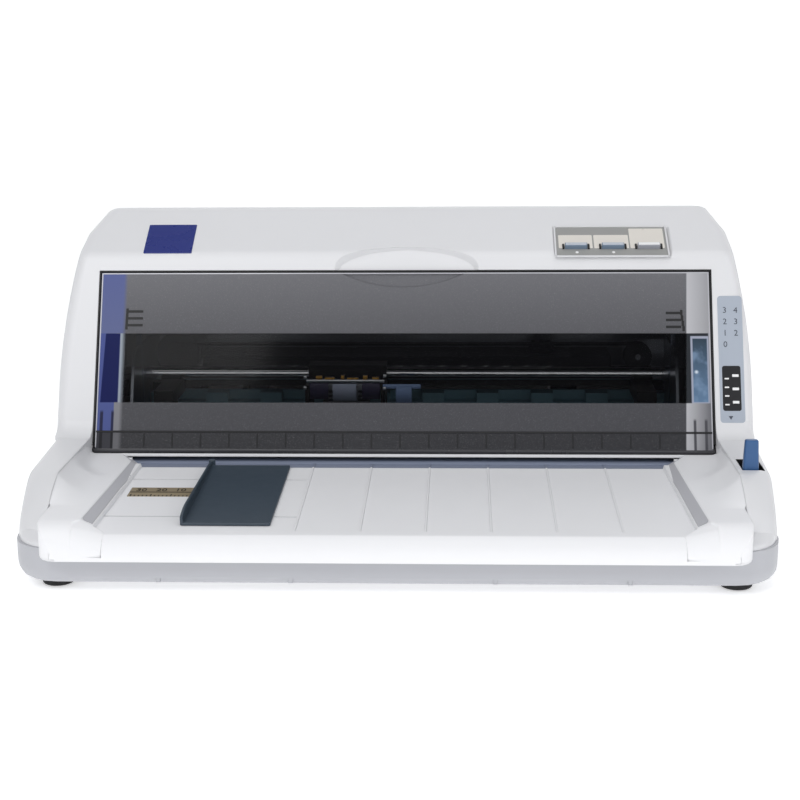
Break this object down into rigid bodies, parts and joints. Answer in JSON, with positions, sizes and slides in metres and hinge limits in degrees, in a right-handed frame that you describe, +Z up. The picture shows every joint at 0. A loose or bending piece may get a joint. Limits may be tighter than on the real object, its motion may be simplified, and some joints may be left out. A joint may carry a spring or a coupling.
{
  "type": "flatbed dot matrix printer",
  "caption": "Flatbed dot matrix printer with a front paper table, sliding edge guide, smoked opening cover, print carriage, platen, feed rollers and rear tractors.",
  "frame": {"origin": "centre of the footprint on the plane of the feet's soles", "axes": "+X to the user's right, +Y from the front table to the rear wall, +Z up"},
  "size_m": [0.48, 0.37, 0.206],
  "materials": {
    "housing_white": "fine-grained off-white moulding",
    "housing_grey": "fine-grained grey moulding",
    "table_grey": "satin light grey moulding",
    "guide_slate": "satin slate blue moulding",
    "inlet_slate": "satin blue-grey moulding",
    "cover_smoke": "smoke-tinted clear sheet with frosted bands",
    "panel_cream": "smooth membrane with cream fields",
    "button_blue": "satin blue-grey",
    "lever_blue": "moulded blue",
    "foot_rubber": "matt",
    "roller_rubber": "ground rubber on a steel shaft",
    "pinch_teal": "moulded rollers on a steel shaft",
    "sheet_steel": "zinc-plated sheet",
    "ground_steel": "ground and plated bar",
    "steel": "machined",
    "head_aluminium": "die cast with cooling fins",
    "black_plastic": "satin black moulding",
    "ribbon_fabric": "inked woven tape",
    "knob_grey": "satin dark grey",
    "gear_nylon": "natural nylon",
    "pinion_brass": "cut",
    "belt_rubber": "toothed rubber",
    "motor_dark": "black-lacquered can",
    "board_green": "lacquered board",
    "board_brown": "lacquered board with parts",
    "holder_teal": "satin moulding"
  },
  "bodies": {
    "base": {"lower_housing": "housing_grey", "upper_housing": "housing_white", "front_table": "table_grey", "paper_inlet_guide": "inlet_slate", "hinge_blocks": "housing_white", "control_panel": "panel_cream", "panel_board": "board_green", "release_lever_bracket": "sheet_steel", "rubber_feet": "foot_rubber", "housing_screws": "steel", "base_frame": "sheet_steel", "left_side_frame": "sheet_steel", "right_side_frame": "sheet_steel", "front_rail": "sheet_steel", "rear_beam": "sheet_steel", "paper_bed": "sheet_steel", "carriage_guide_shaft": "ground_steel", "ribbon_cartridge": "black_plastic", "ribbon": "ribbon_fabric", "carriage_motor": "motor_dark", "timing_belt": "belt_rubber", "feed_motor": "motor_dark", "roller_holders": "holder_teal", "tractor_support_shaft": "steel", "tractor_belt": "belt_rubber", "main_board": "board_green", "interface_sockets": "steel", "power_supply_board": "board_brown", "ac_inlet": "black_plastic", "switch_body": "black_plastic"},
    "cover": {"printer_cover": "cover_smoke"},
    "rear_flap": {"rear_paper_guide": "housing_white"},
    "feed_key": {"feed_button": "button_blue"},
    "load_key": {"load_button": "button_blue"},
    "pause_key": {"pause_button": "button_blue"},
    "release_lever": {"release_lever": "lever_blue"},
    "thickness_lever": {"thickness_lever": "lever_blue"},
    "edge_guide": {"edge_guide": "guide_slate"},
    "carriage": {"carriage": "black_plastic", "print_head": "head_aluminium"},
    "drive_pulley": {"drive_pulley": "gear_nylon"},
    "idler_pulley": {"idler_pulley": "gear_nylon"},
    "platen": {"platen": "roller_rubber", "platen_gear": "gear_nylon", "paper_knob": "knob_grey"},
    "motor_pinion": {"motor_pinion": "pinion_brass"},
    "reduction_gear": {"reduction_gear": "gear_nylon"},
    "idler_gear": {"idler_gear": "gear_nylon"},
    "front_feed_roller": {"front_feed_roller": "roller_rubber"},
    "rear_feed_roller": {"rear_feed_roller": "roller_rubber"},
    "front_pinch_rollers": {"front_pinch_rollers": "pinch_teal"},
    "rear_pinch_rollers": {"rear_pinch_rollers": "pinch_teal"},
    "tractor_drive_shaft": {"tractor_drive_shaft": "steel"},
    "left_tractor": {"left_tractor": "black_plastic"},
    "right_tractor": {"right_tractor": "black_plastic"},
    "left_sprocket": {"left_sprocket": "gear_nylon"},
    "right_sprocket": {"right_sprocket": "gear_nylon"},
    "left_tractor_cover": {"left_tractor_cover": "knob_grey"},
    "right_tractor_cover": {"right_tractor_cover": "knob_grey"},
    "ribbon_knob": {"ribbon_knob": "holder_teal"},
    "rocker": {"power_switch": "knob_grey"}
  },
  "joints": [
    {"name": "cover_hinge", "type": "hinge", "parent": "base", "child": "cover", "pos_m": [0, -0.03105, 0.05054], "axis": [1, 0, 0], "range_deg": [0, 90]},
    {"name": "rear_flap_hinge", "type": "hinge", "parent": "base", "child": "rear_flap", "pos_m": [0, 0.183, 0.054], "axis": [-1, 0, 0], "range_deg": [0, 70]},
    {"name": "feed_key_press", "type": "slide", "parent": "base", "child": "feed_key", "axis": [0, 0.515, -0.8572], "range_m": [0, 0.0009], "stiffness_N_per_m": 300},
    {"name": "load_key_press", "type": "slide", "parent": "base", "child": "load_key", "axis": [0, 0.515, -0.8572], "range_m": [0, 0.0009], "stiffness_N_per_m": 300},
    {"name": "pause_key_press", "type": "slide", "parent": "base", "child": "pause_key", "axis": [0, 0.515, -0.8572], "range_m": [0, 0.0009], "stiffness_N_per_m": 300},
    {"name": "release_lever_pivot", "type": "hinge", "parent": "base", "child": "release_lever", "pos_m": [0.2235, -0.106, 0.034], "axis": [-1, 0, 0], "range_deg": [0, 33]},
    {"name": "thickness_lever_pivot", "type": "hinge", "parent": "base", "child": "thickness_lever", "pos_m": [0.2037, 0.034, 0.062], "axis": [1, 0, 0], "range_deg": [0, 18]},
    {"name": "edge_guide_slide", "type": "slide", "parent": "base", "child": "edge_guide", "axis": [1, 0, 0], "range_m": [-0.04, 0.013]},
    {"name": "carriage_slide", "type": "slide", "parent": "base", "child": "carriage", "axis": [1, 0, 0], "range_m": [-0.088, 0.17]},
    {"name": "drive_pulley_spin", "type": "hinge", "parent": "base", "child": "drive_pulley", "pos_m": [-0.168, 0.05, 0.1], "axis": [0, 1, 0], "range_deg": [-1215, 640]},
    {"name": "idler_pulley_spin", "type": "hinge", "parent": "base", "child": "idler_pulley", "pos_m": [0.168, 0.05, 0.1], "axis": [0, 1, 0], "range_deg": [-1215, 640]},
    {"name": "platen_spin", "type": "hinge", "parent": "base", "child": "platen", "pos_m": [0, 0.02, 0.0306], "axis": [1, 0, 0], "continuous": true},
    {"name": "reduction_gear_spin", "type": "hinge", "parent": "base", "child": "reduction_gear", "pos_m": [-0.208, 0.045, 0.0306], "axis": [1, 0, 0], "continuous": true},
    {"name": "motor_pinion_spin", "type": "hinge", "parent": "base", "child": "motor_pinion", "pos_m": [-0.208, 0.07079, 0.0226], "axis": [1, 0, 0], "continuous": true},
    {"name": "idler_gear_spin", "type": "hinge", "parent": "base", "child": "idler_gear", "pos_m": [-0.2015, -0.00016, 0.04362], "axis": [1, 0, 0], "continuous": true},
    {"name": "front_feed_roller_spin", "type": "hinge", "parent": "base", "child": "front_feed_roller", "pos_m": [0, -0.014, 0.0356], "axis": [1, 0, 0], "continuous": true},
    {"name": "rear_feed_roller_spin", "type": "hinge", "parent": "base", "child": "rear_feed_roller", "pos_m": [0, 0.06125, 0.0356], "axis": [1, 0, 0], "continuous": true},
    {"name": "front_pinch_rollers_spin", "type": "hinge", "parent": "base", "child": "front_pinch_rollers", "pos_m": [0, -0.014, 0.0501], "axis": [1, 0, 0], "continuous": true},
    {"name": "rear_pinch_rollers_spin", "type": "hinge", "parent": "base", "child": "rear_pinch_rollers", "pos_m": [0, 0.06125, 0.0501], "axis": [1, 0, 0], "continuous": true},
    {"name": "tractor_drive_shaft_spin", "type": "hinge", "parent": "base", "child": "tractor_drive_shaft", "pos_m": [0, 0.15, 0.048], "axis": [1, 0, 0], "continuous": true},
    {"name": "left_tractor_slide", "type": "slide", "parent": "base", "child": "left_tractor", "axis": [1, 0, 0], "range_m": [-0.045, 0.09]},
    {"name": "right_tractor_slide", "type": "slide", "parent": "base", "child": "right_tractor", "axis": [1, 0, 0], "range_m": [-0.09, 0.045]},
    {"name": "left_sprocket_spin", "type": "hinge", "parent": "left_tractor", "child": "left_sprocket", "pos_m": [-0.12, 0.15, 0.048], "axis": [1, 0, 0], "continuous": true},
    {"name": "right_sprocket_spin", "type": "hinge", "parent": "right_tractor", "child": "right_sprocket", "pos_m": [0.12, 0.15, 0.048], "axis": [1, 0, 0], "continuous": true},
    {"name": "left_tractor_cover_hinge", "type": "hinge", "parent": "left_tractor", "child": "left_tractor_cover", "pos_m": [-0.128, 0.139, 0.062], "axis": [0, -1, 0], "range_deg": [0, 110]},
    {"name": "right_tractor_cover_hinge", "type": "hinge", "parent": "right_tractor", "child": "right_tractor_cover", "pos_m": [0.128, 0.139, 0.062], "axis": [0, 1, 0], "range_deg": [0, 110]},
    {"name": "ribbon_knob_spin", "type": "hinge", "parent": "base", "child": "ribbon_knob", "pos_m": [0.1, 0.075, 0.0983], "axis": [0, 0, 1], "continuous": true},
    {"name": "rocker_tilt", "type": "hinge", "parent": "base", "child": "rocker", "pos_m": [-0.2305, 0.13, 0.06], "axis": [0, 0, 1], "range_deg": [0, 14]}
  ],
  "couplings": [
    {"joint": "drive_pulley_spin", "follows": "carriage_slide", "rad_per_m": -123.46},
    {"joint": "idler_pulley_spin", "follows": "carriage_slide", "rad_per_m": -123.46},
    {"joint": "reduction_gear_spin", "follows": "platen_spin", "ratio": -2.5714},
    {"joint": "motor_pinion_spin", "follows": "platen_spin", "ratio": 9},
    {"joint": "idler_gear_spin", "follows": "platen_spin", "ratio": -3},
    {"joint": "front_feed_roller_spin", "follows": "platen_spin", "ratio": 1.8},
    {"joint": "rear_feed_roller_spin", "follows": "platen_spin", "ratio": 1.8},
    {"joint": "tractor_drive_shaft_spin", "follows": "platen_spin", "ratio": 1.8},
    {"joint": "left_sprocket_spin", "follows": "platen_spin", "ratio": 1.8},
    {"joint": "right_sprocket_spin", "follows": "platen_spin", "ratio": 1.8}
  ]
}
